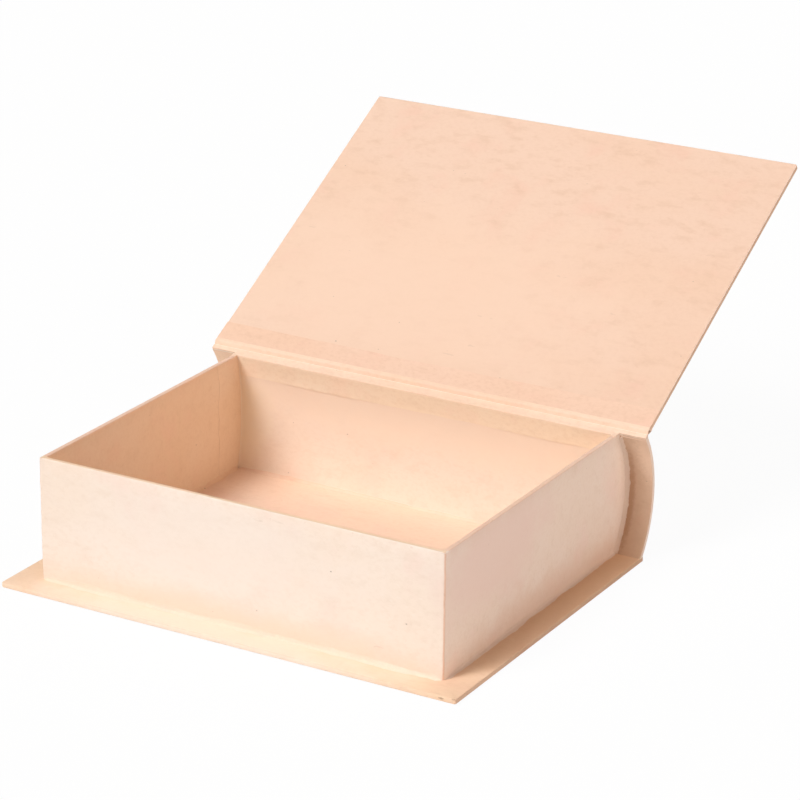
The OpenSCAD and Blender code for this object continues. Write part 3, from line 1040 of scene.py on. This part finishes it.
class BOOKBOX_OT_laps(bpy.types.Operator):
    """Wraps the ends of the front paper round the tray's upright corners"""

    bl_idname = "bookbox.laps"
    bl_label = "Laps at the front corners"

    def execute(self, context):
        inner, outer = TRAY_X - 2.6, TRAY_X + 0.12
        front, back = TRAY_Y - 0.06, TRAY_Y + 4.4
        low, high = (inner, front, BASE_TOP - 0.1), (outer, back, RIM_Z - 0.2)
        gone = lambda f: max(abs(f.normal.z), -f.normal.x, f.normal.y) > 0.9
        for side, where in ((-1, "left"), (1, "right")):
            name = f"corner_lap_{where}"
            piece = bent_sheet(name, low, high, gone, (outer, front), radius=0.9, cuts=44)
            for v in piece.data.vertices:
                c = v.co / MM
                ripple = 0.16 * wave(side, c.z / 5, 8) + 0.1 * wave(side, c.z / 1.6, 6)
                if near(c.y, back):
                    torn = 0.5 * wave(side, c.z / 8, 1) + 0.25 * wave(side, c.z / 2.4, 2)
                    v.co.y += ((RIM_Z - c.z) / RIM_Z * 1.2 - 0.8 + torn) * MM
                elif near(c.x, inner):
                    v.co.y = (TRAY_Y + 0.03) * MM
                else:
                    v.co += Vector((ripple, -abs(ripple) * 0.4, 0)) * MM
            if side < 0:
                piece.data.transform(MIRROR)
            face_outwards(piece, 0, side)
            thicken(piece, LAP_THICK)
            mark_rub(piece, lambda c: abs(c.x) < TRAY_X - 0.6 or c.y > TRAY_Y + 0.8)
            dress(piece, "paper_outside", "box")
            # painted shade: the rounded corner of each lap takes the darker crease paper
            repaper(piece, "paper_creases", lambda c, normal: abs(normal.x) > 0.3 and normal.y < -0.3)
        return {"FINISHED"}


class BOOKBOX_OT_joints(bpy.types.Operator):
    """Fills the corners between the outer end walls and the spine with a wrinkled slip"""

    bl_idname = "bookbox.joints"
    bl_label = "Slips behind the end walls"

    def execute(self, context):
        low, high = angle_at(BASE_TOP, LINER_R), angle_at(RIM_Z - 1.2, LINER_R)
        half_x, drawn_in = 1.5, 1.3
        front, back = LINER_R - 2.6, LINER_R + 0.1
        for side, where in ((-1, "left"), (1, "right")):
            name = f"joint_slip_{where}"
            piece = bowed_sheet(name, half_x, ARC_Y, front, back, low, high, steps=60, columns=4)
            # the slip's outer corner is drawn in, which leaves a hollow of paper
            for v in piece.data.vertices:
                c = v.co / MM
                x = c.x + half_x
                angle = math.atan2(c.z - ARC_Z, c.y - ARC_Y)
                ragged = 1 + 0.5 * wave(angle * 14, side) + 0.3 * wave(angle * 40, side, 5)
                reach = back
                if back - from_arc(c) > 1:
                    reach = back - drawn_in * ragged * (1 - x / (2 * half_x)) ** 1.7 - 0.12
                out = (TRAY_X - 0.05 + x * 0.5 * ragged) * side
                v.co = Vector((out, ARC_Y + reach * math.cos(angle), ARC_Z + reach * math.sin(angle))) * MM
            open_mesh(piece)
            face_one_way()
            dress(piece, "paper_slips", "box", [f"joint_strip_{where}"])
        return {"FINISHED"}


def bend_points(points, radius, steps=3):
    """Rounds the inner corners of a side view's line."""
    line = [points[0]]
    for before, at, after in zip(points, points[1:], points[2:]):
        a, p, b = (Vector(q) for q in (before, at, after))
        r = min(radius, (p - a).length * 0.45, (b - p).length * 0.45)
        first, last = p + (a - p).normalized() * r, p + (b - p).normalized() * r
        for k in range(steps + 1):
            t = k / steps
            line.append(tuple(first * (1 - t) ** 2 + p * 2 * t * (1 - t) + last * t * t))
    line.append(points[-1])
    return line


def row_of_points(name, y, z):
    """A row of points across the case, joined by edges, at a place in the side view."""
    piece = flat_sheet(name, HALF_W, 0.5, 80, y=y + 0.5, z=z)
    open_mesh(piece)
    drop(piece, "verts", lambda v: v.co.y / MM > y + 0.5, "VERT")
    return piece


def sweep(line):
    """Extrudes the selected row of the open mesh along a line of the side view."""
    for (y0, z0), (y1, z1) in zip(line, line[1:]):
        step = (0, (y1 - y0) * MM, (z1 - z0) * MM)
        bpy.ops.mesh.extrude_region_move(TRANSFORM_OT_translate={"value": step})


def arc_line(y, r, a0, a1, steps):
    """Points of an arc in the side view."""
    angles = [a0 + (a1 - a0) * k / steps for k in range(steps + 1)]
    return [(y + r * math.cos(a), ARC_Z + r * math.sin(a)) for a in angles]


class BOOKBOX_OT_hinge(bpy.types.Operator):
    """Glues the strip of paper that the lid hangs from, inside and outside the fold"""

    bl_idname = "bookbox.hinge"
    bl_label = "Hinge papers"

    def execute(self, context):
        sizes = context.scene.book_box_sizes
        lift = sizes.strip_lift / MM
        foot = RIM_Z - sizes.leaf_on_wall / MM
        self.inner_paper(lift, foot, sizes.leaf_on_lid / MM, sizes.strip_wander / MM)
        self.outer_paper()
        return {"FINISHED"}

    def inner_paper(self, lift, foot, leaf_on_lid, stray):
        """From the lid over the fold, and down the rear wall and the ends of the spine."""
        start = (ARC_Y + LINER_R * math.cos(TOP_A) - 0.05, ARC_Z + LINER_R * math.sin(TOP_A) + 0.42)
        fold = (AXIS_Y - 0.15, AXIS_Z + 0.16)
        crease = (AXIS_Y + 0.2, AXIS_Z - 0.22)
        belly = open_point(LID_BACK + 1.2, LID_Z - 0.25)
        lip = open_point(LID_BACK - 0.25, LID_Z - lift)
        end = open_point(LID_BACK - leaf_on_lid, LID_Z - lift)
        upper = bend_points([start, fold, crease, belly, lip, end], radius=0.7, steps=4)
        piece = row_of_points("hinge_paper_inner", *start)
        rest()
        # two columns of points at each end are moved onto the end wall's faces
        for v in piece.data.vertices:
            x = v.co.x / MM
            for old, new in ((87.5, INNER_X), (90, TRAY_X + 0.1)):
                if near(abs(x), old, 0.5):
                    v.co.x = math.copysign(new * MM, x)
        open_mesh(piece)
        take_all()
        sweep(upper)

        def in_row(v):
            return near(v.co.y / MM, start[0], 0.005) and near(v.co.z / MM, start[1], 0.005)

        def pick_row(low_x, high_x):
            """Selects the edges of the first row between two distances from the case's middle."""
            ok = lambda v: in_row(v) and low_x < abs(v.co.x / MM) < high_x
            pick(piece, "edges", lambda e: ok(e.verts[0]) and ok(e.verts[1]))

        # down the rear wall, between the end walls
        face = REAR_FACE - lift
        wall = arc_line(REAR_Y, face, angle_at(RIM_Z - 1.0, face), angle_at(foot, face), steps=8)
        rim = (wall[0][0] - 0.25, RIM_Z + lift + 0.1)
        pick_row(-1, INNER_X + 0.05)
        sweep(bend_points([start, rim, wall[1]], radius=1.25, steps=7) + wall[2:])
        # over the rims of the end walls
        pick_row(INNER_X - 0.05, TRAY_X + 0.15)
        sweep([start, (start[0] - 0.6, RIM_Z + lift + 0.12), (start[0] - 3.4, RIM_Z + lift)])
        # down the inner face of the spine, outside the end walls
        pick_row(TRAY_X, HALF_W + 1)
        end_face = arc_line(ARC_Y, LINER_R - lift, TOP_A, angle_at(foot, LINER_R), steps=7)
        sweep([start] + end_face[1:])
        face_one_way()
        face_outwards(piece, 2, 1)

        lip_at = Vector((0, *lip))
        down_lid = (Vector((0, *end)) - lip_at).normalized()
        from_lip = lambda c: (Vector((0, c.y, c.z)) - lip_at).dot(down_lid)
        on_wall = lambda c: held((foot + 4 - c.z) / 4) if c.z < RIM_Z - 2 else 0
        on_lid = lambda c: held((from_lip(c) - 4) / 5.5) if c.y > AXIS_Y + 2 else 0
        wander(piece, on_wall, (0, 0, 1), stray, period=26, seed=1)
        wander(piece, on_lid, down_lid, stray * 1.2, period=34, seed=2)
        thicken(piece, PAPER)
        stands_for = ["hinge_strip_spine_leaf", "hinge_crease", "hinge_strip_lid_leaf"]
        # painted light: the hinge strip takes the paler strip paper, seen mostly on the leaf down the rear
        # wall
        dress(piece, "paper_strips", stands_for=stands_for)
        # painted shade: the band over the rims and the ends over the end walls take the darker band paper
        repaper(piece, "paper_band", lambda c, normal: c.z > RIM_Z - 0.4 or abs(c.x) > INNER_X - 0.01)
        repaper(piece, "paper_lid_strip", lambda c, normal: c.y > AXIS_Y and from_lip(c) > 0.25)
        # painted shade: the hinge crease takes the darker crease paper
        in_crease = lambda c, normal: math.hypot(c.y - crease[0], c.z - crease[1]) < 0.4
        repaper(piece, "paper_creases", in_crease)
        # painted shade: the strip's end past the right end wall takes the darker edge paper
        repaper(piece, "paper_edges", lambda c, normal: c.x > TRAY_X and c.z < RIM_Z - 0.5)
        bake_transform(piece)

    def outer_paper(self):
        """From the spine's top edge over the fold to the lid's outer face."""
        off = 0.03
        lip = open_point(LID_BACK, LID_Z + PLY + off)
        end = open_point(LID_BACK - 1.5, LID_Z + PLY + off)
        back = arc_line(ARC_Y, SPINE_R + off, TOP_A - 1.6 / SPINE_R, TOP_A - 0.25 / SPINE_R, steps=3)
        line = back + bend_points([(AXIS_Y + 0.1, AXIS_Z - 0.1), lip, end], radius=0.5)
        piece = row_of_points("hinge_paper_outer", *line[0])
        take_all()
        sweep(line)
        rest()
        face_outwards(piece, 1, 1)
        thicken(piece, PAPER)
        dress(piece, "paper_outside", stands_for=["hinge_crease"])
        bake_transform(piece)


class BOOKBOX_OT_stage(bpy.types.Operator):
    """Sets up the pale floor, the soft lights and the camera"""

    bl_idname = "bookbox.stage"
    bl_label = "Floor, lights and camera"

    def execute(self, context):
        rest()
        self.lay_floor(context)
        self.set_lights(context)
        self.set_camera(context)
        context.scene.view_settings.view_transform = "Standard"
        rest()
        return {"FINISHED"}

    def lay_floor(self, context):
        bpy.ops.mesh.primitive_plane_add(size=12, location=(0, 0, -0.0002))
        floor = context.active_object
        floor.name = "studio_floor"
        finish = bpy.data.materials.new("studio_floor")
        finish.use_nodes = True
        nodes = finish.node_tree.nodes
        matt = nodes["Principled BSDF"]
        w = Wiring(finish.node_tree)
        w.put((0.93, 0.93, 0.93, 1), matt.inputs["Base Color"])
        w.put(0.9, matt.inputs["Roughness"])
        w.put(0.0, matt.inputs["Specular IOR Level"])
        # to the camera most of the floor is plain white, and the rest takes the shadow
        white_share = w.times(w.make("LightPath")["Is Camera Ray"], 0.96)
        both = w.make("MixShader", {0: white_share, 1: matt.outputs[0], 2: w.make("Emission")[0]})
        w.put(both[0], nodes["Material Output"].inputs["Surface"])
        floor.data.materials.append(finish)
        settle(floor)

    def set_lights(self, context):
        light = context.scene.book_box_light
        warm_lamp, warm_room, white = (1, 0.80, 0.72), (1, 0.82, 0.66, 1), (1, 1, 1, 1)
        # soft lights: where they stand, how wide they are and how bright a sheet that faces them gets;
        # the first three make one tall soft box
        for name, azimuth, height, width, strength in (
            ("key_light_low", -28, 36, 20, light.key * 0.3),
            ("key_light_middle", -28, 50, 20, light.key * 0.37),
            ("key_light_high", -28, 64, 20, light.key * 0.33),
            ("side_light", 62, 38, 40, light.side),
            ("low_light", 96, 8, 30, light.low),
        ):
            bpy.ops.object.light_add(type="SUN")
            lamp = context.active_object
            lamp.name = name
            lamp.data.angle = math.radians(width)
            lamp.data.energy = strength * math.pi
            if azimuth > 0:
                lamp.data.color = warm_lamp
            a, h = math.radians(azimuth), math.radians(height)
            lamp.location = (math.sin(a) * math.cos(h), -math.cos(a) * math.cos(h), math.sin(h))
            lamp.rotation_euler = lamp.location.to_track_quat("Z", "Y").to_euler()

        # the room gives a warm light, and looks plain white itself
        world = bpy.data.worlds.new("studio")
        context.scene.world = world
        world.use_nodes = True
        background = world.node_tree.nodes["Background"].inputs
        w = Wiring(world.node_tree)
        rays = w.make("LightPath")
        seen = w.plus(rays["Is Camera Ray"], rays["Is Glossy Ray"])
        seen = w.plus(seen, rays["Is Transmission Ray"], clamp=True)
        w.put(w.mix(seen, warm_room, white), background["Color"])
        w.put(w.ramp(seen, 0.0, 1.0, light.sky, 1.0), background["Strength"])

    def set_camera(self, context):
        bpy.ops.object.camera_add()
        camera = context.active_object
        camera.name = "camera"
        camera.data.sensor_width = 36
        camera.data.lens = 149.5
        camera.data.clip_start = 0.05
        camera.data.dof.use_dof = False
        # it is turned about the upright, looks down and leans a little to one side
        yaw, pitch, roll = 29.848, 20.555, 0.615
        turn = Matrix.Identity(4)
        for axis, angle in (("Z", yaw), ("X", 90 - pitch), ("Z", roll)):
            turn @= Matrix.Rotation(math.radians(angle), 4, axis)
        camera.matrix_world = Matrix.Translation((0.6146, -1.0144, 0.5173)) @ turn
        context.scene.camera = camera


class BOOKBOX_PT_panel(bpy.types.Panel):
    """Lists the box's pieces and their settings"""

    bl_idname = "BOOKBOX_PT_panel"
    bl_label = "Book-shaped box"
    bl_space_type = "VIEW_3D"
    bl_region_type = "UI"
    bl_category = "Book box"

    def draw(self, context):
        for cls in OPERATORS:
            self.layout.operator(cls.bl_idname)
        for name, settings in SETTINGS.items():
            box = self.layout.box()
            for label in settings.__annotations__:
                box.prop(getattr(context.scene, name), label)


OPERATORS = (
    BOOKBOX_OT_finishes,
    BOOKBOX_OT_base,
    BOOKBOX_OT_tray,
    BOOKBOX_OT_spine,
    BOOKBOX_OT_lid,
    BOOKBOX_OT_slips,
    BOOKBOX_OT_corners,
    BOOKBOX_OT_laps,
    BOOKBOX_OT_joints,
    BOOKBOX_OT_hinge,
    BOOKBOX_OT_stage,
)
SETTINGS = {
    "book_box_sizes": BookBoxSizes,
    "book_box_papers": BookBoxPapers,
    "book_box_light": BookBoxLight,
}
CLASSES = (*SETTINGS.values(), *OPERATORS, BOOKBOX_PT_panel)


def register():
    for cls in CLASSES:
        bpy.utils.register_class(cls)
    for name, settings in SETTINGS.items():
        setattr(bpy.types.Scene, name, PointerProperty(type=settings))


def unregister():
    for name in SETTINGS:
        delattr(bpy.types.Scene, name)
    for cls in reversed(CLASSES):
        bpy.utils.unregister_class(cls)


def main():
    """Makes the box piece by piece."""
    register()
    bpy.ops.bookbox.finishes()
    bpy.ops.bookbox.base()
    bpy.ops.bookbox.tray()
    bpy.ops.bookbox.spine()
    bpy.ops.bookbox.lid()
    bpy.ops.bookbox.slips()
    bpy.ops.bookbox.corners()
    bpy.ops.bookbox.laps()
    bpy.ops.bookbox.joints()
    bpy.ops.bookbox.hinge()
    bpy.ops.bookbox.stage()


if __name__ == "__main__":
    main()
